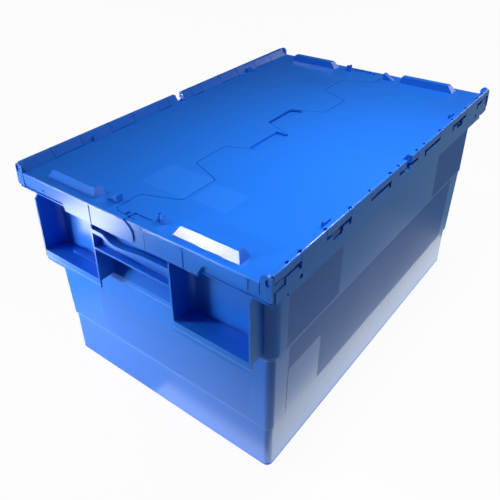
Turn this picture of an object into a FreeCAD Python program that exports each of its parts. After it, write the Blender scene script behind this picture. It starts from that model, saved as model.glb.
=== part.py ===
import FreeCAD, Part
import math
import os
from FreeCAD import Vector

os.makedirs("parts", exist_ok=True)

# Attached-lid container for 600 x 400 pallets, in millimetres.
# Origin at the bottom centre of the base. X runs along the length, Z is up.
# Two identical lids hang on hinge rods along the long sides and meet in a
# toothed seam at mid width. The lid on +Y is the -Y one turned half a turn about Z.

# overall
length = 600.0
width = 400.0
height = 325.0

# tub walls: three tiers, each a little larger than the one below it
wall = 3.0
base_end_inset = 32.0
base_side_inset = 24.5
base_chamfer = 2.0
base_corner_r = 8.0
lower_tier_top = 71.0
middle_tier_top = 189.0
tier_step = 2.0
tier_step_height = 3.2
lower_draft = 1.0
middle_draft = 3.6
upper_draft = 1.9
side_growth = 1.22
middle_corner_r = 9.0
upper_corner_r = 15.0
floor_thickness = 3.0
foot_height = 4.0
foot_ring_width = 16.0
foot_rib_width = 2.5
foot_rib_pitch = 90.0

# rim
rim_drop = 14.5
rim_plate = 3.0
skirt_depth = 26.5
skirt_wall = 2.5
end_flange_gap = 3.6
end_flange_depth = 21.5
end_lip = 1.5
end_lip_start = 112.0
end_flange_lean = 16.0
rib_thickness = 2.0
rib_pitch = 46.0
skirt_hole_r = 3.0
skirt_hole_inset = 52.0
skirt_hole_drop = 29.5
skirt_end_length = 25.0
skirt_end_rise = 3.5
skirt_notch_length = 5.0
skirt_notch_rise = 5.0
skirt_step_depth = 1.2
skirt_step_drop = 22.5
skirt_step_inset = 24.5
skirt_flap_inset = 7.5

# hinge
barrel_r = 6.0
rod_r = 2.0
rod_clearance = 0.08
knuckle_gap = 0.8
knuckle_shares = [0.027, 0.091, 0.169, 0.345, 0.5, 0.676, 0.838, 1.0]
crest_drop = 0.6
crest_reach = 0.8
crest_r = 2.0
knuckle_corner_r = 3.0
flank_foot = 14.1
flank_clearance = 0.5
notch_wide = 6.5
notch_narrow = 5.0
notch_inset = 1.6
notch_width = 2.8
notch_depth = 7.5
end_notch_inset = 30.0
end_plate_thickness = 4.0
end_plate_width = 13.0
end_plate_drop = 31.0
slot_width = 5.2
slot_height = 8.8
slot_inset = 4.1
slot_centre_drop = 8.1
slot_depth = 1.4
rod_recess = 2.4
lip_thickness = 2.0
lip_height = 6.6
lip_clearance = 2.4
lip_end_clearance = 1.1
lip_gap = 5.0
lip_short = 13.0
lip_long = 28.0
lip_setback = 1.2
window_depth = 4.5
window_pad_depth = 7.0
window_pad_clearance = 4.0

# lids
lid_thickness = 3.0
lid_edge_clearance = 2.4
lid_edge_r = 2.0
lid_skirt_wall = 2.4
lid_skirt_depth = 28.4
lid_skirt_short = 12.5
lid_skirt_outer = 15.0
lid_skirt_reach = 107.5
lid_skirt_outer_start = 148.0
lid_rib_depth = 8.0
lid_rib_pitch = 50.0
lid_rib_clearance = 8.0
groove_width = 1.8
groove_depth = 0.8
seam_gap = 1.0
seam_amplitude = 25.0
seam_end_margin = 60.0
seam_slant = 20.0
seam_corner_r = 6.0
seam_start = 1.0
finger_recess_depth = 3.5
finger_recess_width = 20.5
finger_recess_length = 64.0
block_height = 11.0
block_wall = 2.5
block_start = 61.7
block_length = 91.7
block_shift = 2.1
block_width = 18.2
block_edge_inset = 10.1
block_outer_lean = 6.4
block_inner_lean = 2.0
block_end_leans = {-1: (9.0, 6.0), 1: (4.0, 8.7)}
lug_height = 10.0
lug_width = 9.0
lug_edge_inset = 19.0
wedge_start = 30.0
wedge_length = 18.0
slotted_start = 33.0
slotted_length = 13.0
slotted_width = 4.0
nub_height = 1.6
nub_length = 2.5
pad_shift = 4.0
pad_length = 12.0
pad_inset = 12.5
pad_width = 5.0
pad_drop = 5.0
tongue_reach = 12.8
tongue_thickness = 1.2
tongue_clearance = 0.4
tongue_rise = 0.8
strip_drop = 2.4
strip_width = 29.0
strip_thickness = 1.4
skirt_seam_lean = 3.6
slit_width = 2.0

# end frames with the pockets and the hand grip
frame_face = 1.5
frame_wall = 2.5
frame_notch = 4.0
pocket_inner = 64.5
pocket_outer_inset = 29.0
pocket_corner_r = 9.0
pocket_top_drop = 46.0
pocket_floor_drop = 125.0
pocket_depth = 33.0
apron_drop = 15.0
slope_rise = 10.0
slope_drop = 4.5
slope_run = 12.0
floor_bar_height = 2.8
floor_bar_width = 7.0
floor_bar_inset = 6.0
floor_bar_length = 72.0
grip_lower_drop = 75.0
grip_depth = 8.5
grip_lip_height = 5.4
grip_lip_drops = [(45.0, 49.0), (30.0, 58.0), (12.0, 57.5), (-20.0, 53.0)]
grip_lip_end_drops = (49.5, 52.0)
grip_lip_r = 14.0

# worked-out levels
half_l = length / 2
half_w = width / 2
base_length = length - 2 * base_end_inset
base_width = width - 2 * base_side_inset
axis_y = half_w - barrel_r
axis_z = height - barrel_r
rim_top = height - rim_drop
lid_top = rim_top + lid_thickness
skirt_bottom = rim_top - skirt_depth
end_flange_x = half_l - end_flange_gap
end_flange_bottom = rim_top - end_flange_depth
floor_top = foot_height + floor_thickness
hinge_half = half_l - end_plate_thickness
knuckle_edges = [share * hinge_half for share in knuckle_shares]
crest_z = height - crest_drop
seam_pitch = (half_l - seam_end_margin) / 3
pocket_outer = half_w - pocket_outer_inset
pocket_top = height - pocket_top_drop
pocket_floor = height - pocket_floor_drop
frame_x = half_l - frame_face
recess_x = half_l - pocket_depth
lid_edge_y = half_w - 2 * barrel_r - lid_edge_clearance
flank_y = half_w - flank_foot
pad_x = (knuckle_edges[4] + knuckle_edges[5]) / 2 + pad_shift


def box(x0, x1, y0, y1, z0, z1):
    low = Vector(min(x0, x1), min(y0, y1), min(z0, z1))
    return Part.makeBox(abs(x1 - x0), abs(y1 - y0), abs(z1 - z0), low)


def fuse(shapes):
    """One solid from shapes that touch or overlap."""
    return shapes[0].multiFuse(shapes[1:]).removeSplitter()


def half_turn(shape):
    """The same shape turned half a turn about Z."""
    turned = shape.copy()
    turned.rotate(Vector(0, 0, 0), Vector(0, 0, 1), 180)
    return turned


def mirrored(shape, normal):
    return shape.mirror(Vector(0, 0, 0), normal)


def both_ends(shape):
    return [shape, mirrored(shape, Vector(1, 0, 0))]


def both_sides(shape):
    return [shape, mirrored(shape, Vector(0, 1, 0))]


def four_corners(shape):
    return [copy for end in both_ends(shape) for copy in both_sides(end)]


def rounded_rect(half_x, half_y, r, z):
    """Closed wire of a rectangle with round corners, centred on the Z axis."""
    edges = []
    for k in range(4):
        angle = math.radians(90 * k)
        sx, sy = [(1, 1), (-1, 1), (-1, -1), (1, -1)][k]
        centre = Vector(sx * (half_x - r), sy * (half_y - r), z)
        arc = [centre + Vector(math.cos(a), math.sin(a), 0) * r
               for a in (angle, angle + math.pi / 4, angle + math.pi / 2)]
        edges.append(Part.Arc(*arc).toShape())
    joined = []
    for k, arc in enumerate(edges):
        following = edges[(k + 1) % 4]
        joined.append(arc)
        joined.append(Part.makeLine(arc.Vertexes[-1].Point, following.Vertexes[0].Point))
    return Part.Wire(joined)


def filleted_path(points, closed):
    """Wire through (x, y, radius) points, each corner rounded by its radius."""
    count = len(points)
    edges = []
    last = None
    first = None
    for k, (x, y, r) in enumerate(points):
        here = Vector(x, y, 0)
        if r == 0 or (not closed and k in (0, count - 1)):
            start = end = here
            arc = None
        else:
            before = Vector(*points[k - 1][:2], 0) - here
            after = Vector(*points[(k + 1) % count][:2], 0) - here
            half = before.getAngle(after) / 2
            before.normalize()
            after.normalize()
            cut = r / math.tan(half)
            middle = before + after
            middle.normalize()
            start = here + before * cut
            end = here + after * cut
            arc = Part.Arc(start, here + middle * (r / math.sin(half) - r), end).toShape()
        if last is not None:
            edges.append(Part.makeLine(last, start))
        else:
            first = start
        if arc is not None:
            edges.append(arc)
        last = end
    if closed:
        edges.append(Part.makeLine(last, first))
    return Part.Wire(edges)


def prism_z(points, z0, z1):
    """Solid over a closed plan outline of (x, y, radius) points."""
    face = Part.Face(filleted_path(points, True))
    face.translate(Vector(0, 0, z0))
    return face.extrude(Vector(0, 0, z1 - z0))


def prism_x(points, x0, x1):
    """Solid along X over a closed outline of (y, z, radius) points."""
    face = Part.Face(filleted_path(points, True))
    solid = face.extrude(Vector(0, 0, x1 - x0))
    turn = FreeCAD.Placement(Vector(x0, 0, 0), FreeCAD.Rotation(Vector(1, 1, 1), 120))
    return solid.transformGeometry(turn.toMatrix())


def prism_y(points, y0, y1):
    """Solid along Y over a closed outline of (x, z, radius) points."""
    face = Part.Face(filleted_path(points, True))
    solid = face.extrude(Vector(0, 0, y0 - y1))
    turn = FreeCAD.Placement(Vector(0, y0, 0), FreeCAD.Rotation(Vector(1, 0, 0), 90))
    return solid.transformGeometry(turn.toMatrix())


def rod_hole(x0, x1, r):
    return Part.makeCylinder(r, x1 - x0, Vector(x0, -axis_y, axis_z), Vector(1, 0, 0))


# ---------------------------------------------------------------- tub

def tiered_solid(foot_rows, inset):
    """Stepped body up to the rim, moved inwards by inset; foot_rows are (z, growth)."""
    step = tier_step
    middle = lower_draft + step
    upper = middle + middle_draft
    rows = [(z, grow, base_corner_r) for z, grow in foot_rows]
    rows += [(lower_tier_top - tier_step_height, lower_draft, base_corner_r), (lower_tier_top, middle, middle_corner_r),
             (middle_tier_top - tier_step_height, upper, middle_corner_r), (middle_tier_top, upper + step, upper_corner_r),
             (rim_top, upper + step + upper_draft, upper_corner_r)]
    wires = []
    for z, grow, r in rows:
        half_x = base_length / 2 + grow - inset
        half_y = base_width / 2 + grow * side_growth - inset
        wires.append(rounded_rect(half_x, half_y, r - inset, z))
    return Part.makeLoft(wires, True, True)


def upper_half_sizes():
    """Half length and half width of the outer wall just under the rim."""
    grow = lower_draft + middle_draft + upper_draft + 2 * tier_step
    return base_length / 2 + grow, base_width / 2 + grow * side_growth


def tub_shell():
    """Stepped walls and floor, with the ends drawn in behind the end frames."""
    outer = tiered_solid([(0, -base_chamfer), (base_chamfer, 0)], 0)
    cavity = tiered_solid([(floor_top, 0)], wall)
    bulge_x = recess_x - wall
    bulge_y = pocket_outer + frame_wall
    bulge = prism_z([(bulge_x, -bulge_y, 8), (bulge_x, bulge_y, 8),
                     (half_l, bulge_y, 0), (half_l, -bulge_y, 0)],
                    pocket_floor - wall, rim_top)
    cavity = cavity.cut(Part.Compound(both_ends(bulge)))
    between = pocket_inner - frame_wall / 2
    slope_foot = pocket_floor - slope_drop
    recess = prism_y([(recess_x, rim_top - rim_plate, 0), (recess_x, pocket_floor + slope_rise, 0),
                      (recess_x + slope_run, slope_foot, 0), (half_l, slope_foot, 0),
                      (half_l, rim_top - rim_plate, 0)], -between, between)
    pockets = both_sides(box(recess_x, half_l, between, pocket_outer, pocket_floor, rim_top - rim_plate))
    hollows = [cavity] + both_ends(recess)
    for pocket in pockets:
        hollows += both_ends(pocket)
    return outer.cut(Part.Compound(hollows))


def foot_relief():
    """Hollow under the floor inside the standing ring, crossed by ribs."""
    half_x = base_length / 2 - foot_ring_width
    half_y = base_width / 2 - foot_ring_width
    relief = box(-half_x, half_x, -half_y, half_y, -1, foot_height)
    ribs = []
    count = int(half_x / foot_rib_pitch)
    for k in range(-count, count + 1):
        x = k * foot_rib_pitch
        ribs.append(box(x - foot_rib_width / 2, x + foot_rib_width / 2, -half_y, half_y, -1, foot_height))
    for k in (-1, 0, 1):
        y = k * foot_rib_pitch
        ribs.append(box(-half_x, half_x, y - foot_rib_width / 2, y + foot_rib_width / 2, -1, foot_height))
    return relief.cut(Part.Compound(ribs))


def side_rim():
    """Top plate and hanging skirt of the -Y long side, with ribs behind the skirt."""
    half_x, half_y = upper_half_sizes()
    inner = half_y - wall / 2
    end = end_flange_x
    parts = [box(-end, end, -half_w, -inner, rim_top - rim_plate, rim_top),
             box(-end, end, -half_w, -half_w + skirt_wall, skirt_bottom, rim_top)]
    count = int((end - rib_pitch / 2) / rib_pitch)
    for k in range(-count, count + 1):
        x = k * rib_pitch
        parts.append(box(x - rib_thickness / 2, x + rib_thickness / 2, -half_w, -inner,
                         skirt_bottom + 2, rim_top))
    return parts


def end_rim():
    """Top plate and flange of the -X end, with its thin bottom lip."""
    half_x, half_y = upper_half_sizes()
    inner = recess_x - wall / 2
    parts = [box(-end_flange_x, -inner, -half_w, half_w, rim_top - rim_plate, rim_top)]
    flange = prism_x([(end_lip_start, end_flange_bottom, 0), (half_w, end_flange_bottom, 0), (half_w, rim_top, 0),
                      (end_lip_start + end_flange_lean, rim_top, 0)], -end_flange_x, -end_flange_x + skirt_wall)
    parts += both_sides(flange)
    for side in (-1, 1):
        parts.append(box(-end_flange_x - end_lip, -end_flange_x + skirt_wall,
                         side * end_lip_start, side * half_w,
                         end_flange_bottom, end_flange_bottom + end_lip))
        parts.append(box(-end_flange_x, -half_x, side * (half_w - skirt_wall - rib_thickness),
                         side * (half_w - skirt_wall), end_flange_bottom + 2, rim_top))
    return parts


def side_skirt_cuts():
    """Round hole and raised lower edge near the -X end of the -Y skirt."""
    hole_x = -half_l + skirt_hole_inset
    hole_z = height - skirt_hole_drop
    hole = Part.makeCylinder(skirt_hole_r, 2 * skirt_wall, Vector(hole_x, -half_w - skirt_wall / 2, hole_z),
                             Vector(0, 1, 0))
    out = -half_w - 1
    end = -half_l + skirt_end_length
    rise = box(-half_l, end, out, -half_w + skirt_wall, skirt_bottom - 1, skirt_bottom + skirt_end_rise)
    notch = box(end - 1, end + skirt_notch_length, out, -half_w + skirt_wall,
                skirt_bottom - 1, skirt_bottom + skirt_notch_rise)
    face = -half_w + skirt_step_depth
    step = box(-end_flange_x, -half_l + skirt_step_inset, out, face, height - skirt_step_drop, rim_top + 1)
    edge = box(-hinge_half, -half_l + skirt_flap_inset, out, face, skirt_bottom - 1, height - skirt_step_drop + 1)
    return [hole, rise, notch, step, edge]


def end_plate():
    """Round-topped plate that closes the hinge at the -X, -Y corner."""
    r = end_plate_width / 2
    low = height - end_plate_drop
    inner = -half_w + end_plate_width
    plate = prism_x([(-half_w, height - r, 0), (inner, height - r, 0), (inner, low, 2), (-half_w, low, 2)],
                    -half_l, -half_l + end_plate_thickness)
    cap = Part.makeCylinder(r, end_plate_thickness, Vector(-half_l, -half_w + r, height - r), Vector(1, 0, 0))
    return plate.fuse(cap)


def end_plate_slot():
    """Shallow upright oval sunk into the end plate, in front of the rod's end."""
    r = slot_width / 2
    y = -half_w + slot_inset
    z = height - slot_centre_drop
    reach = slot_height / 2
    x0 = -half_l - 1
    x1 = -half_l + slot_depth
    return prism_x([(y - r, z - reach, r - 0.01), (y + r, z - reach, r - 0.01), (y + r, z + reach, r - 0.01),
                    (y - r, z + reach, r - 0.01)], x0, x1)


def flank_y_at(z):
    """y of the sloping inner flank of a -Y knuckle at height z."""
    top_y = -axis_y + crest_reach
    return top_y + (crest_z - z) * (-flank_y - top_y) / (crest_z - lid_top)


def tub_knuckles():
    """Knuckles of the tub on the -Y side: flat crest, sloping flank, upright down to the rim."""
    tip = lid_top + flank_clearance
    low = rim_top - rim_plate
    inner = -axis_y + barrel_r
    outline = [(-half_w, low, 0), (-half_w, crest_z, crest_r), (-axis_y + crest_reach, crest_z, 1),
               (flank_y_at(tip), tip, 0), (inner, tip - 2, 0), (inner, low, 0)]
    parts = []
    gap = knuckle_gap / 2
    for k in range(1, len(knuckle_edges) - 1, 2):
        x0 = knuckle_edges[k] + gap
        x1 = knuckle_edges[k + 1] - gap
        for sign in (-1, 1):
            parts.append(prism_x(outline, *sorted((sign * x0, sign * x1))))
    return parts


def crest_notches():
    """Small square notches sunk into the crest of the -Y hinge at the knuckle boundaries."""
    places = []
    for k, x in enumerate(knuckle_edges[1:-1]):
        wide_first = k % 2 == 0
        places.append((x, notch_wide if wide_first else notch_narrow))
        places.append((-x, notch_narrow if wide_first else notch_wide))
    last = half_l - end_notch_inset
    places += [(last, notch_narrow), (-last, notch_narrow)]
    y0 = -half_w + notch_inset
    return [box(x - w / 2, x + w / 2, y0, y0 + notch_width, crest_z - notch_depth, height + 1)
            for x, w in places]


def hinge_windows():
    """Cut-outs in the rim under the lid's knuckles on the -Y side."""
    cuts = []
    bottom = rim_top - window_depth
    for k in range(0, len(knuckle_edges), 2):
        x0 = knuckle_edges[k] if k else 0.0
        x1 = knuckle_edges[k + 1]
        for sign in (-1, 1):
            cuts.append(box(sign * x0, sign * x1, -half_w - 1, -axis_y, bottom, height))
    reach = pad_length / 2 + window_pad_clearance
    for x in (-pad_x, pad_x):
        cuts.append(box(x - reach, x + reach, -half_w - 1, -axis_y, rim_top - window_pad_depth, height))
    return cuts


def hinge_lips():
    """Raised lips in the windows under the lid's knuckles on the -Y side."""
    e = knuckle_edges
    spans = [(lip_gap, e[1], 0), (e[2] + lip_gap, e[3], 0), (e[4] + lip_gap, e[4] + lip_gap + lip_short, 0),
             (e[5] - lip_short, e[5], 0), (e[6] + lip_gap, e[6] + lip_long, 0), (e[6] + lip_long, e[7], lip_setback)]
    low = axis_z - barrel_r - lip_clearance - lip_height
    lips = []
    for x0, x1, setback in spans:
        face = -half_w + setback
        top = axis_z - barrel_r - (lip_end_clearance if setback else lip_clearance)
        for sign in (-1, 1):
            lips.append(box(sign * x0, sign * x1, face, face + lip_thickness, low, top))
    return lips


def corner_fill(x, y, toward_x, toward_y, r, z0, z1):
    """Upright filler that rounds an inside corner at (x, y) with radius r."""
    block = box(x, x + toward_x * r, y, y + toward_y * r, z0, z1)
    return block.cut(Part.makeCylinder(r, z1 - z0, Vector(x + toward_x * r, y + toward_y * r, z0)))


def end_frame():
    """Pockets and hand grip of the -X end, in front of the drawn-in wall."""
    parts = []
    back = recess_x - wall / 2
    apron_bottom = pocket_floor - apron_drop
    notch = frame_notch
    walls = [pocket_inner - frame_wall, pocket_outer]
    for y0 in walls:
        profile = [(-frame_x, pocket_floor - frame_wall, 0), (-frame_x, pocket_top, 0),
                   (-frame_x + notch, pocket_top + notch, 0), (-frame_x + notch, rim_top - 1, 0),
                   (-back, rim_top - 1, 0), (-back, pocket_floor - frame_wall, 0)]
        parts += both_sides(prism_y(profile, y0, y0 + frame_wall))
    y0 = pocket_inner - frame_wall
    y1 = pocket_outer + frame_wall
    parts += both_sides(box(-frame_x, -back, y0, y1, pocket_floor - frame_wall, pocket_floor))
    apron = prism_x([(y0, pocket_floor, 0), (y1, pocket_floor, 0), (y1, apron_bottom, 8), (y0, apron_bottom, 4)],
                    -frame_x, -frame_x + frame_wall)
    parts += both_sides(apron)
    for y, toward in ((pocket_inner, 1), (pocket_outer, -1)):
        parts += both_sides(corner_fill(-recess_x, y, -1, toward, pocket_corner_r, pocket_floor - 1, rim_top - 1))
    return parts


def floor_bar():
    """Low bar along the floor of the pocket at the -X, +Y corner."""
    x1 = -recess_x - floor_bar_inset
    return box(x1 - floor_bar_width, x1, pocket_inner - 1, pocket_inner + floor_bar_length,
               pocket_floor - 1, pocket_floor + floor_bar_height)


def grip():
    """Hand grip between the pockets of the -X end: wavy upper lip, straight lower lip, web behind."""
    end = pocket_inner - frame_wall / 2
    lower = height - grip_lower_drop
    web_x = frame_x - grip_depth
    first, last = grip_lip_end_drops
    top = [(end, height - first, 0)] + [(y, height - drop, grip_lip_r) for y, drop in grip_lip_drops]
    top.append((-end, height - last, 0))
    bottom = [(y, z - grip_lip_height, r) for y, z, r in reversed(top)]
    lip = prism_x(top + bottom, -frame_x, -web_x + frame_wall)
    return [lip, box(-frame_x, -web_x + frame_wall, -end, end, lower - frame_wall, lower),
            box(-web_x, -web_x + frame_wall, -end, end, lower - frame_wall, rim_top - 1)]


def make_tub():
    shell = tub_shell()
    rim = []
    for part in side_rim():
        rim += both_sides(part)
    for part in end_rim():
        rim += both_ends(part)
    rim += four_corners(end_plate())
    body = fuse([shell] + rim)
    windows = []
    for cut in hinge_windows():
        windows += both_sides(cut)
    body = body.cut(Part.Compound(windows))
    added = []
    for part in tub_knuckles() + hinge_lips():
        added += both_sides(part)
    for part in end_frame() + grip():
        added += both_ends(part)
    added += [floor_bar(), half_turn(floor_bar())]
    body = fuse([body] + added)
    holes = [foot_relief()] + four_corners(end_plate_slot())
    for cut in crest_notches():
        holes += both_sides(cut)
    for cut in side_skirt_cuts():
        holes += four_corners(cut)
    r = rod_r + rod_clearance
    inside = half_l - end_plate_thickness / 2
    return body.cut(holes).cut(both_sides(rod_hole(-inside, inside, r)))


# ---------------------------------------------------------------- lids

def seam_points():
    """Middle line of the seam from the -X end to the +X end, as (x, y, radius)."""
    a = seam_amplitude
    s = seam_slant / 2
    r = seam_corner_r
    half = []
    for k in (-3, -2, -1):
        sign = 1 if k % 2 else -1
        half.append((k * seam_pitch - s, sign * a, r))
        half.append((k * seam_pitch + s, -sign * a, r))
    front = [(-half_l - 40, -seam_start, 0), (-half_l + 8.0, -seam_start, 2), (-half_l + 11.0, a, 7)]
    first = front + half
    second = [(-x, -y, r) for x, y, r in reversed(first)]
    return first + [(-s, -a, r), (s, a, r)] + second


def lid_region():
    """Tall prism over everything on the -Y side of the seam, half the gap short of it."""
    points = seam_points()
    far = half_w + 60.0
    outline = points + [(points[-1][0], -far, 0), (points[0][0], -far, 0)]
    face = Part.Face(filleted_path(outline, True))
    face = face.makeOffset2D(-seam_gap / 2, 0, False, False, False)
    face.translate(Vector(0, 0, skirt_bottom - 30))
    return face.extrude(Vector(0, 0, 2 * skirt_depth + 60))


def lid_body():
    """Plate and end skirts, with round top edges at the ends."""
    high = seam_amplitude + 20
    low = lid_top - lid_skirt_depth
    solid = box(-half_l, half_l, -lid_edge_y, high, low, lid_top)
    edges = [e for e in solid.Edges
             if abs(abs(e.CenterOfMass.x) - half_l) < 0.1 and abs(e.CenterOfMass.z - lid_top) < 0.1]
    solid = solid.makeFillet(lid_edge_r, edges)
    inner = half_l - lid_skirt_wall
    return solid.cut(box(-inner, inner, -half_w, high + 1, low - 1, rim_top))


def skirt_cuts():
    """What is taken off the lower edge of both end skirts."""
    low = lid_top - lid_skirt_depth - 1
    short = lid_top - lid_skirt_short
    outer = lid_top - lid_skirt_outer
    reach = -lid_skirt_reach
    start = -lid_skirt_outer_start
    cut = [(-half_w, low, 0), (-half_w, outer, 0), (start, outer, 0), (start, short, 0),
           (reach - 7.5, short, 5), (reach, low + 5, 0), (reach, low, 0)]
    return [prism_x(cut, -half_l - 1, -half_l + lid_skirt_wall + 1),
            prism_x(cut, half_l - lid_skirt_wall - 1, half_l + 1)]


def lid_knuckles():
    """Knuckles of the lid, each with the flank that joins it to the plate."""
    low = axis_z - barrel_r
    joint = -lid_edge_y + 2
    outline = [(-half_w, low, knuckle_corner_r), (-half_w, crest_z, crest_r), (-axis_y + crest_reach, crest_z, 1),
               (-flank_y, lid_top, 0), (joint, lid_top, 0), (joint, rim_top, 0), (-axis_y, rim_top, 0),
               (-axis_y, low, 0)]
    parts = []
    gap = knuckle_gap / 2
    for k in range(0, len(knuckle_edges), 2):
        x0 = knuckle_edges[k] + (gap if k else 0)
        x1 = knuckle_edges[k + 1] - gap
        for sign in (-1, 1):
            parts.append(prism_x(outline, *sorted((sign * x0, sign * x1))))
    return parts


def stacking_block(out):
    """(ridge, hollow) of the sloping stacking block near one end; out is -1 or 1."""
    near_lean, far_lean = block_end_leans[out]

    def ridge(inset, z0, z1):
        outer = half_l - block_edge_inset - inset
        inner = half_l - block_edge_inset - block_width + inset
        near = -block_start + out * block_shift - inset
        far = -block_start + out * block_shift - block_length + inset
        base = [(outer, far), (outer, near), (inner, near), (inner, far)]
        top = [(outer - block_outer_lean, far + far_lean), (outer - block_outer_lean, near - near_lean),
               (inner + block_inner_lean, near - near_lean), (inner + block_inner_lean, far + far_lean)]
        wires = []
        for row, z in ((base, z0), (top, z1)):
            wires.append(Part.makePolygon([Vector(out * x, y, z) for x, y in row + row[:1]]))
        return Part.makeLoft(wires, True, True)

    outside = ridge(0, lid_top - 1, lid_top + block_height)
    inside = ridge(block_wall, rim_top - 0.5, lid_top + block_height - block_wall)
    return outside, inside


def lug_span(out, thickness):
    """(x0, x1) of the small lugs beside the seam at one end; out is -1 or 1."""
    return sorted((out * (half_l - lug_edge_inset), out * (half_l - lug_edge_inset - thickness)))


def wedge_lug(out):
    """Low wedge, upright towards the seam and sloping down away from it."""
    x0, x1 = lug_span(out, lug_width)
    near = -wedge_start
    far = near - wedge_length
    top = lid_top + lug_height
    return prism_x([(far, lid_top - 1, 0), (near, lid_top - 1, 0), (near, top, 0),
                    (near - 3, top, 0), (far, lid_top, 0)], x0, x1)


def slotted_lug(out):
    """Upright fin, narrower on top, with a slit across it and a nub on top."""
    x0, x1 = lug_span(out, slotted_width)
    near = -slotted_start
    far = near - slotted_length
    top = lid_top + lug_height
    lug = prism_x([(far, lid_top - 1, 0), (near, lid_top - 1, 0), (near - 1.5, top, 0), (far + 3.5, top, 0)],
                  x0, x1)
    slit = box(x0 - 1, x1 + 1, near - 5.2, near - 3.8, lid_top + 0.5, top + 1)
    nub = box(x0, x1, near - 1.5 - nub_length, near - 1.5, top - 1, top + nub_height)
    return lug.cut(slit).fuse(nub)


def finger_recess():
    """(tray, hollow) of the sunk strip along the finger next to mid length."""
    x0 = seam_slant / 2
    x1 = x0 + finger_recess_length
    y1 = seam_amplitude + 1
    y0 = seam_amplitude - finger_recess_width
    floor = lid_top - finger_recess_depth
    tray = box(x0 - lid_thickness, x1 + lid_thickness, y0 - lid_thickness, y1,
               floor - lid_thickness, rim_top + 0.5)
    hollow = box(x0, x1, y0, y1, floor, lid_top + 1)
    return tray, hollow


def lid_ribs():
    """Stiffening ribs under the plate, inside the mouth of the tub."""
    half_x, half_y = upper_half_sizes()
    end = recess_x - wall - lid_rib_clearance
    far = -half_y + wall + lid_rib_clearance
    near = -seam_amplitude - lid_rib_clearance
    low = rim_top - lid_rib_depth
    ribs = []
    count = int(end / lid_rib_pitch)
    for k in range(-count, count + 1):
        x = k * lid_rib_pitch
        ribs.append(box(x - rib_thickness / 2, x + rib_thickness / 2, far, near, low, rim_top + 0.5))
    for y in (far, (far + near) / 2, near):
        ribs.append(box(-end, end, y - rib_thickness / 2, y + rib_thickness / 2, low, rim_top + 0.5))
    return ribs


def pads():
    """Upright pads on the flank of the hinge; they swing into the deep part of the windows."""
    near = -half_w + pad_inset
    half = pad_length / 2
    top = height - pad_drop
    outline = [(near, rim_top + 0.5, 0), (near, top, 0), (near + pad_width - 1, top, 0),
               (near + pad_width, lid_top, 0), (near + pad_width, rim_top + 0.5, 0)]
    return [prism_x(outline, x - half, x + half) for x in (-pad_x, pad_x)]


def skirt_seam():
    """(strip, tongue, removed) shapes where the end skirts of the two lids meet.

    At +X this lid's rounded tongue lies outside the other lid's skirt, and at -X its own
    skirt is set back behind the other one's tongue. Both edges lean back from the seam,
    so that either lid can swing up by itself.
    """
    low = lid_top - lid_skirt_depth
    inner = half_l - lid_skirt_wall
    layer = half_l - tongue_thickness
    strip_face = layer - tongue_clearance
    gap = seam_gap / 2
    strip = box(-strip_face, -strip_face + strip_thickness, -strip_width, -gap, low - strip_drop, rim_top + 1)
    under = low - strip_drop - 1
    tongue_low = low + tongue_rise
    lean = [(-gap, lid_top + 1, 0), (-gap - skirt_seam_lean, under, 0), (10, under, 0), (10, lid_top + 1, 0)]
    tongue = prism_x([(-8, lid_top - 1, 0), (1, lid_top - 1, 3), (tongue_reach, lid_top - 11, 12),
                      (tongue_reach, tongue_low, 6), (-8, tongue_low, 0)], layer, half_l)
    removed = [prism_x(lean, -half_l - 1, -strip_face + strip_thickness + 0.1),
               prism_x(lean, inner - 0.1, half_l + 1),
               box(-half_l - 1, -strip_face, -strip_width, 10, under, lid_top + 1)]
    return strip, tongue, removed


def skirt_slots():
    """Slit and shallow grooves in the lid's end skirts."""
    low = lid_top - lid_skirt_depth - 1
    a = -half_l - 1
    near = -strip_width
    far = near - slit_width
    slit = prism_x([(far, low, 0), (near, low, 0), (near, lid_top - 8, 6), (near + 5, lid_top - 2.5, 0),
                    (near + 3.5, lid_top - 1.2, 0), (far, lid_top - 7, 7)], a, -half_l + lid_skirt_wall + 1)
    cuts = [slit]
    half = groove_width / 2
    for out, y in ((-1, -88.0), (-1, -173.0), (1, -59.0)):
        cuts.append(box(out * (half_l - groove_depth), out * (half_l + 1), y - half, y + half, low, lid_top - 1))
    return cuts


def seal_hole():
    """L-shaped hole and shallow tray at the start of the seam, for a seal or a tie."""
    x = -half_l
    low = rim_top - 1
    high = lid_top + 1
    tray = prism_z([(x + 6, -36, 2), (x + 6, 0, 2), (x + 18.5, 0, 2), (x + 18.5, -30, 4)],
                   lid_top - 1.8, high)
    return [box(x + 9, x + 16, 3.5, 7.5, low, high), box(x + 8, x + 10.5, -9, 1, low, high), tray]


def make_lid():
    """The lid of the -Y side."""
    solids = [lid_body(), slotted_lug(-1), wedge_lug(1)] + lid_knuckles() + lid_ribs() + pads()
    hollows = skirt_cuts() + skirt_slots() + seal_hole() + crest_notches()
    strip, tongue, removed = skirt_seam()
    solids.append(strip)
    hollows += removed
    for solid, hollow in (stacking_block(-1), stacking_block(1), finger_recess()):
        solids.append(solid)
        hollows.append(hollow)
    lid = fuse(solids).cut(Part.Compound(hollows))
    lid = lid.common(lid_region()).fuse(tongue).removeSplitter()
    return lid.cut(rod_hole(-half_l - 1, half_l + 1, rod_r + rod_clearance))


def make_rods():
    """The four hinge rods, named by side and end."""
    inner = knuckle_edges[0] + 1
    outer = half_l - rod_recess
    rod = rod_hole(-outer, -inner, rod_r)
    ends = {"front": rod, "rear": mirrored(rod, Vector(1, 0, 0))}
    rods = {}
    for end, shape in ends.items():
        rods["hinge_rod_right_" + end] = shape
        rods["hinge_rod_left_" + end] = mirrored(shape, Vector(0, 1, 0))
    return rods


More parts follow.
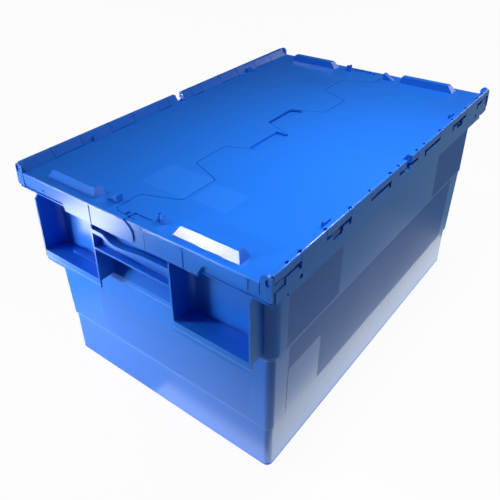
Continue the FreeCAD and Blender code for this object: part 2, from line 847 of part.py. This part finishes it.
right_lid = make_lid()
nodes = {"tub": make_tub(), "right_lid": right_lid, "left_lid": half_turn(right_lid)}
nodes.update(make_rods())

for name, shape in nodes.items():
    solids = shape.Solids
    print(name, "solids", len(solids), "valid", shape.isValid(), "volume", round(shape.Volume / 1000, 1), "cm3")
    shape.exportStep("parts/" + name + ".step")
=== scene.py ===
import math

import bmesh
import bpy
from mathutils import Matrix, Vector


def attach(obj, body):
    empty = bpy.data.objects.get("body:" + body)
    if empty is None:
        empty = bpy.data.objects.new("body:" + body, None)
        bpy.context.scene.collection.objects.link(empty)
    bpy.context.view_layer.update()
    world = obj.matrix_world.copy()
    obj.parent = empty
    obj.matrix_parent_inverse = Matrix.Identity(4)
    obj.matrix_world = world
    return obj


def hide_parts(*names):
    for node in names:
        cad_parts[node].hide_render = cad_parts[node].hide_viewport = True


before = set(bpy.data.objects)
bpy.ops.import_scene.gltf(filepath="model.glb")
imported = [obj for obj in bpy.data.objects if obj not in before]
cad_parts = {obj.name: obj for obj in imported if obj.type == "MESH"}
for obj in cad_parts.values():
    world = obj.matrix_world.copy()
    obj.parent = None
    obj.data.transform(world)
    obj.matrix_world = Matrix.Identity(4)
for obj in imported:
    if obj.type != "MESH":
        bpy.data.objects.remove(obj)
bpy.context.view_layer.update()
print("frame loaded:", len(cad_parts), "nodes")


# shader helpers

class Socket:
    # one output socket; arithmetic on it adds Math nodes to its tree
    def __init__(self, tree, out):
        self.tree = tree
        self.out = out

    def maths(self, operation, first, second):
        return self.tree.maths(operation, first, second)

    def __add__(self, other):
        return self.maths("ADD", self, other)

    def __radd__(self, other):
        return self.maths("ADD", other, self)

    def __sub__(self, other):
        return self.maths("SUBTRACT", self, other)

    def __rsub__(self, other):
        return self.maths("SUBTRACT", other, self)

    def __mul__(self, other):
        return self.maths("MULTIPLY", self, other)

    def __rmul__(self, other):
        return self.maths("MULTIPLY", other, self)

    def __truediv__(self, other):
        return self.maths("DIVIDE", self, other)

    def part(self, name):
        return Socket(self.tree, self.out.node.outputs[name])


class Tree:
    def __init__(self, name):
        self.material = bpy.data.materials.new(name)
        self.material.use_nodes = True
        self.nodes = self.material.node_tree.nodes
        self.links = self.material.node_tree.links
        self.nodes.clear()

    def add(self, kind, settings, values, output=0):
        node = self.nodes.new(kind)
        for key, value in settings.items():
            setattr(node, key, value)
        for key, value in values.items():
            if isinstance(value, Socket):
                self.links.new(value.out, node.inputs[key])
            else:
                node.inputs[key].default_value = value
        return Socket(self, node.outputs[output])

    def blend(self, factor, low, high):
        # colour mix; low and high are colours or sockets
        return self.add("ShaderNodeMix", {"data_type": "RGBA"}, {0: factor, 6: low, 7: high}, 2)

    def maths(self, operation, first, second):
        return self.add("ShaderNodeMath", {"operation": operation}, {0: first, 1: second})

    def close(self, shader):
        end = self.nodes.new("ShaderNodeOutputMaterial")
        self.links.new(shader.out, end.inputs["Surface"])
        return self.material


cratePlastic = {
    "colour": (0.012, 0.17, 0.79, 1),
    "mattColour": (0.012, 0.13, 0.6, 1),
    # near-black blue painted as shade into thin gaps and slits
    "paintedGapShadeColour": (0.004, 0.03, 0.12, 1),
    # pale blue painted as a highlight along the tier step edges
    "edgeHighlightColour": (0.2, 0.42, 0.95, 1),
    "paleColour": (0.02, 0.2, 0.86, 1),
    "roughness": 0.25,
    "mattRoughness": 0.46,
    "grain": 900.0,
    "grainDepth": 0.00004,
    "grainStrength": 0.25,
    "cloud": 7.0,
    "cloudShare": 0.08,
    "ior": 1.53,
}

hingeSteel = {"colour": (0.55, 0.56, 0.58, 1), "roughness": 0.3}

# where the side walls, end walls, end skirts and lid tops begin, and where the rim ends the walls
starts = {"side": 0.172, "end": 0.266, "skirt": 0.2965, "lid": 0.3128, "rim": 0.29}

# how much of the full change each kind of area takes
shares = {"endMatt": 0.4, "lidMatt": 0.5, "edge": 0.5, "pale": 0.6}

# areas on the crate in metres, each as two (low, high) spans: mould panels, lid patches, and strips
# where gap shade is painted
sideMatt = [
    ((-0.240, 0.233), (0.073, 0.187)),
    ((-0.249, -0.137), (0.192, 0.284)),
    ((0.146, 0.262), (0.192, 0.284)),
]
sideSmooth = [((-0.2385, -0.168), (0.073, 0.148))]
# thin strips painted with shade: a gap line at the edge of the smooth square on the side, and the slit
# in the end skirt
sidePaintedGapShade = [((-0.2405, -0.2385), (0.084, 0.152))]
endPaintedSlitShade = [((-0.0318, -0.0288), (0.2845, 0.308))]
# heights of the tier step edges where a thin highlight line is painted, and its half width
edges = (0.0717, 0.1907)
edgeHalf = 0.0009
endMatt = [((-0.150, 0.100), (0.076, 0.150))]
lidPale = [((-0.227, -0.171), (-0.026, 0.048)), ((-0.223, -0.178), (-0.084, -0.031))]
lidMatt = [((0.180, 0.225), (0.033, 0.085))]


def within(value, low, high):
    above = value.tree.maths("GREATER_THAN", value, low)
    return above * value.tree.maths("LESS_THAN", value, high)


def patches(first, second, spans):
    # 1 inside any of the rectangles
    whole = 0.0
    for (a, b), (c, d) in spans:
        whole = within(first, a, b) * within(second, c, d) + whole
    return whole


def plasticMaterial(name, look):
    tree = Tree(name)
    place = tree.add("ShaderNodeTexCoord", {}, {}, "Object")
    x = tree.add("ShaderNodeSeparateXYZ", {}, {"Vector": place}, "X")
    y, z = x.part("Y"), x.part("Z")
    overX = tree.maths("ABSOLUTE", x, 0.0)
    overY = tree.maths("ABSOLUTE", y, 0.0)
    # each half of the crate is the other after half a turn
    along = x * (tree.maths("SIGN", y, 0.0) * -1)
    across = y * (tree.maths("SIGN", x, 0.0) * -1)
    onSide = tree.maths("GREATER_THAN", overY, starts["side"])
    onEnd = tree.maths("GREATER_THAN", overX, starts["end"])
    onSkirt = tree.maths("GREATER_THAN", overX, starts["skirt"])
    onLid = tree.maths("GREATER_THAN", z, starts["lid"])
    low = tree.maths("LESS_THAN", z, starts["rim"])
    matt = (onSide * (patches(along, z, sideMatt) - patches(along, z, sideSmooth)) * low
            + onEnd * (1 - onSide) * low * patches(across, z, endMatt) * shares["endMatt"]
            + onLid * patches(x, y, lidMatt) * shares["lidMatt"])
    # painted shade: near-black blue in the thin gap line on the side and in the slit of the end skirt
    paintedGapShade = onSide * patches(along, z, sidePaintedGapShade) * low + onSkirt * patches(across, z, endPaintedSlitShade)
    # painted highlight: a thin pale line along each tier step edge
    paintedEdgeHighlight = (within(z, edges[0] - edgeHalf, edges[0] + edgeHalf)
            + within(z, edges[1] - edgeHalf, edges[1] + edgeHalf)) * shares["edge"]
    pale = onLid * patches(x, y, lidPale) * shares["pale"]
    grain = tree.add("ShaderNodeTexNoise", {}, {"Vector": place, "Scale": look["grain"], "Detail": 2.0})
    cloud = tree.add("ShaderNodeTexNoise", {}, {"Vector": place, "Scale": look["cloud"], "Detail": 3.0})
    rough = (look["roughness"] + (cloud - 0.5) * look["cloudShare"]
             + matt * (look["mattRoughness"] - look["roughness"]))
    colour = tree.blend(matt, look["colour"], look["mattColour"])
    colour = tree.blend(pale, colour, look["paleColour"])
    colour = tree.blend(paintedGapShade, colour, look["paintedGapShadeColour"])
    colour = tree.blend(paintedEdgeHighlight, colour, look["edgeHighlightColour"])
    bump = tree.add("ShaderNodeBump", {}, {
        "Height": grain, "Strength": look["grainStrength"], "Distance": look["grainDepth"]})
    shader = tree.add("ShaderNodeBsdfPrincipled", {}, {
        "Base Color": colour, "Roughness": rough, "Normal": bump, "IOR": look["ior"]})
    return tree.close(shader)


def steelMaterial(name, look):
    tree = Tree(name)
    shader = tree.add("ShaderNodeBsdfPrincipled", {}, {
        "Base Color": look["colour"], "Roughness": look["roughness"], "Metallic": 1.0})
    return tree.close(shader)


# moulded pieces: a merged copy of each solid with soft edges

softEdges = {"width": 0.0006, "segments": 2, "angle": 20.0, "flat": 0.5, "join": 1e-5, "corners": 4}


def mouldedPiece(node, name, body, material):
    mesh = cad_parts[node].data.copy()
    work = bmesh.new()
    work.from_mesh(mesh)
    bmesh.ops.remove_doubles(work, verts=work.verts, dist=softEdges["join"])
    bmesh.ops.dissolve_limit(work, angle_limit=math.radians(softEdges["flat"]),
                             verts=work.verts, edges=work.edges)
    large = [face for face in work.faces if len(face.verts) > softEdges["corners"]]
    bmesh.ops.triangulate(work, faces=large)
    work.to_mesh(mesh)
    work.free()
    mesh.polygons.foreach_set("use_smooth", [True] * len(mesh.polygons))
    mesh.set_sharp_from_angle(angle=math.radians(softEdges["angle"]))
    piece = bpy.data.objects.new(name, mesh)
    bpy.context.scene.collection.objects.link(piece)
    bevel = piece.modifiers.new("soft edges", "BEVEL")
    bevel.width = softEdges["width"]
    bevel.segments = softEdges["segments"]
    bevel.limit_method = "ANGLE"
    bevel.angle_limit = math.radians(softEdges["angle"])
    bevel.miter_outer = "MITER_ARC"
    bevel.use_clamp_overlap = True
    bevel.harden_normals = True
    even = piece.modifiers.new("even normals", "WEIGHTED_NORMAL")
    even.mode = "FACE_AREA"
    even.weight = 100
    even.keep_sharp = True
    bpy.context.view_layer.update()
    shaped = piece.evaluated_get(bpy.context.evaluated_depsgraph_get())
    done = bpy.data.meshes.new_from_object(shaped)
    piece.modifiers.clear()
    piece.data = done
    done.materials.clear()
    done.materials.append(material)
    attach(piece, body)
    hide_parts(node)


plastic = plasticMaterial("crateBlue", cratePlastic)
steel = steelMaterial("hingeSteel", hingeSteel)
mouldedPiece("tub", "mouldedTub", "container", plastic)
mouldedPiece("right_lid", "mouldedRightLid", "right_cover", plastic)
mouldedPiece("left_lid", "mouldedLeftLid", "left_cover", plastic)
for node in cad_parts:
    if node.startswith("hinge_rod"):
        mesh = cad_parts[node].data
        mesh.materials.clear()
        mesh.materials.append(steel)
print("moulded pieces made")


# studio

studio = {
    "floorSize": 60.0, "floorDrop": 0.0005, "world": 0.05, "worldTone": (0.95, 0.97, 1.0, 1),
    "white": 1.0, "whiteTone": (1, 1, 1, 1), "seenShare": 0.95,
    # colours the floor glows with in reflections: a painted pool of light near the crate and a painted
    # cool grey reflection beyond
    "poolGlowTone": (0.85, 0.95, 1, 1), "farGlowTone": (0.25, 0.4, 0.42, 1),
    "paintedLightPool": (0.32, 0.22, 0.09),
    "seenColour": (0.95, 0.95, 0.95, 1), "floorColour": (0.45, 0.45, 0.45, 1),
}


def paleMaterial(name):
    # white to the eye; in reflections it glows with a painted pool of light, pale close round the
    # crate, and a painted cool grey beyond
    tree = Tree(name)
    path = tree.add("ShaderNodeLightPath", {}, {}, "Is Camera Ray")
    glossy = path.part("Is Glossy Ray")
    place = tree.add("ShaderNodeTexCoord", {}, {}, "Object")
    axes = tree.add("ShaderNodeSeparateXYZ", {}, {"Vector": place}, "X")
    # painted pool of light: its half length and half width round the crate, and how far out the glow
    # fades to the far tone
    halfLength, halfWidth, fade = studio["paintedLightPool"]
    overX = tree.maths("MAXIMUM", tree.maths("ABSOLUTE", axes, 0.0) - halfLength, 0.0)
    overY = tree.maths("MAXIMUM", tree.maths("ABSOLUTE", axes.part("Y"), 0.0) - halfWidth, 0.0)
    away = tree.maths("POWER", overX * overX + overY * overY, 0.5)
    near = tree.maths("MINIMUM", away / fade, 1.0)
    matt = tree.add("ShaderNodeBsdfDiffuse", {}, {
        "Color": tree.blend(path, studio["floorColour"], studio["seenColour"])})
    seen = tree.blend(near, studio["poolGlowTone"], studio["farGlowTone"])
    tone = tree.blend(path, seen, studio["whiteTone"])
    bright = tree.add("ShaderNodeEmission", {}, {"Color": tone, "Strength": studio["white"]})
    share = path * studio["seenShare"] + glossy
    both = tree.add("ShaderNodeMixShader", {}, {0: share, 1: matt, 2: bright})
    return tree.close(both)


def makeFloor():
    half = studio["floorSize"] / 2
    mesh = bpy.data.meshes.new("floor")
    corners = [(-half, -half, 0), (half, -half, 0), (half, half, 0), (-half, half, 0)]
    mesh.from_pydata(corners, [], [(0, 1, 2, 3)])
    floor = bpy.data.objects.new("floor", mesh)
    floor.location.z = -studio["floorDrop"]
    mesh.materials.append(paleMaterial("paleFloor"))
    bpy.context.scene.collection.objects.link(floor)


def makeWorld():
    world = bpy.data.worlds.new("softRoom")
    bpy.context.scene.world = world
    world.use_nodes = True
    nodes = world.node_tree.nodes
    links = world.node_tree.links
    nodes.clear()
    path = nodes.new("ShaderNodeLightPath")
    dim = nodes.new("ShaderNodeBackground")
    dim.inputs["Color"].default_value = studio["worldTone"]
    dim.inputs["Strength"].default_value = studio["world"]
    white = nodes.new("ShaderNodeBackground")
    white.inputs["Color"].default_value = studio["whiteTone"]
    white.inputs["Strength"].default_value = studio["white"]
    mix = nodes.new("ShaderNodeMixShader")
    out = nodes.new("ShaderNodeOutputWorld")
    links.new(path.outputs["Is Camera Ray"], mix.inputs[0])
    links.new(dim.outputs[0], mix.inputs[1])
    links.new(white.outputs[0], mix.inputs[2])
    links.new(mix.outputs[0], out.inputs["Surface"])


# what a lamp has where its own entry doesn't say otherwise
plainLamp = {"colour": (1, 0.98, 0.97), "spread": 180}

lamps = {
    "key": {
        "place": (-1.51, 1.87, 2.5), "target": (0, 0, 0.25), "size": (0.4, 0.4), "power": 31},
    "overhead": {
        "place": (0.06, -0.16, 0.88), "target": (0.06, -0.16, 0), "size": (0.9, 0.12),
        "power": 1.4, "spread": 95},
    "front": {
        "place": (-1.0, 0.74, 0.1), "target": (-0.3, 0.17, 0.14), "size": (0.3, 0.3),
        "power": 1.15, "spread": 44},
    "block": {
        "place": (-1.49, 0.72, 0.69), "target": (-0.29, -0.11, 0.32), "size": (0.12, 0.03),
        "power": 0.006, "spread": 2},
    "low": {
        "place": (-0.51, 0.37, 0.06), "target": (-0.30, 0.04, 0.27), "size": (0.14, 0.08),
        "power": 0.37},
    "crest": {
        "place": (0.36, -0.24, 0.9), "target": (-0.16, -0.2, 0.32), "size": (0.34, 0.07),
        "power": 0.36, "spread": 60},
    "rearEnd": {
        "place": (2.6, -0.6, 0.9), "target": (0.3, 0, 0.2), "size": (1.4, 1.0), "power": 13},
    "rearSide": {
        "place": (0.1, 2.8, 0.9), "target": (0, 0.2, 0.2), "size": (1.4, 1.0), "power": 10},
    "side": {
        "place": (0.7, -2.2, 0.7), "target": (0.1, -0.2, 0.15), "size": (1.2, 0.8), "power": 5},
    "sideGlow": {
        "place": (0.03, -0.194, 0.001), "target": (0.03, -0.194, 1), "size": (0.62, 0.034),
        "power": 0.075, "colour": (1, 0.97, 0.7)},
    "frontGlow": {
        "place": (-0.28, -0.08, 0.001), "target": (-0.28, -0.08, 1), "size": (0.02, 0.2),
        "power": 0.014},
}


def addLamp(name, look):
    lamp = bpy.data.lights.new(name, "AREA")
    lamp.shape = "RECTANGLE"
    lamp.size, lamp.size_y = look["size"]
    lamp.spread = math.radians(look["spread"])
    lamp.energy = look["power"]
    lamp.color = look["colour"]
    thing = bpy.data.objects.new(name, lamp)
    thing.location = look["place"]
    aim = Vector(look["target"]) - Vector(look["place"])
    thing.rotation_euler = aim.to_track_quat("-Z", "Y").to_euler()
    thing.visible_camera = False
    bpy.context.scene.collection.objects.link(thing)


makeFloor()
makeWorld()
for name, look in lamps.items():
    addLamp(name + "Lamp", {**plainLamp, **look})


# camera

camera = {
    "sensor": 36.0, "lens": 43.7112, "shift": (0.0294, -0.1344),
    "place": (-0.6623, -0.4525, 0.6720),
    "right": (0.61756, -0.78620, -0.02252), "down": (-0.39550, -0.28566, -0.87291),
    "forward": (0.67986, 0.54798, -0.48736),
}


def makeCamera():
    lens = bpy.data.cameras.new("camera")
    lens.sensor_width = camera["sensor"]
    lens.lens = camera["lens"]
    lens.shift_x, lens.shift_y = camera["shift"]
    thing = bpy.data.objects.new("camera", lens)
    right = Vector(camera["right"])
    up = -Vector(camera["down"])
    back = -Vector(camera["forward"])
    turn = Matrix((right, up, back)).transposed()
    thing.matrix_world = Matrix.Translation(Vector(camera["place"])) @ turn.to_4x4()
    bpy.context.scene.collection.objects.link(thing)
    bpy.context.scene.camera = thing


makeCamera()
bpy.context.scene.view_settings.view_transform = "Standard"
print("studio and camera set")
